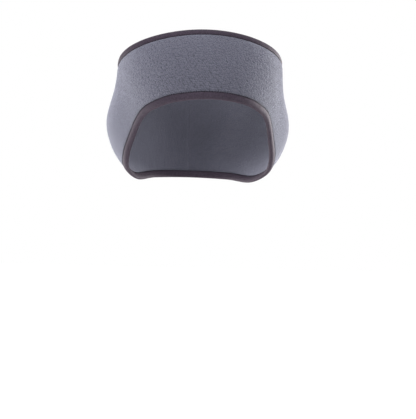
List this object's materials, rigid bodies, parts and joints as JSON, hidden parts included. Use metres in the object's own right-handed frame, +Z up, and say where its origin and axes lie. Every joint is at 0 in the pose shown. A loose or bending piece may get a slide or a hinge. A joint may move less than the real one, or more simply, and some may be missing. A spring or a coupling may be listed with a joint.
{
  "type": "fleece ear-warmer headband",
  "caption": "Closed stretch-fleece headband, tall at the forehead, with its lower edge dipping over the ears and dark folded tape bound round both edges.",
  "frame": {"origin": "middle of the head opening at ear level", "axes": "+Z up the head, -Y toward the forehead, +X toward the wearer's left ear"},
  "size_m": [0.177, 0.1974, 0.1403],
  "materials": {
    "fleece": "matt napped fleece",
    "binding_tape": "soft matt elastic tape"
  },
  "bodies": {
    "root": {"fleece_band": "fleece", "top_binding": "binding_tape", "lower_binding": "binding_tape"}
  },
  "joints": []
}
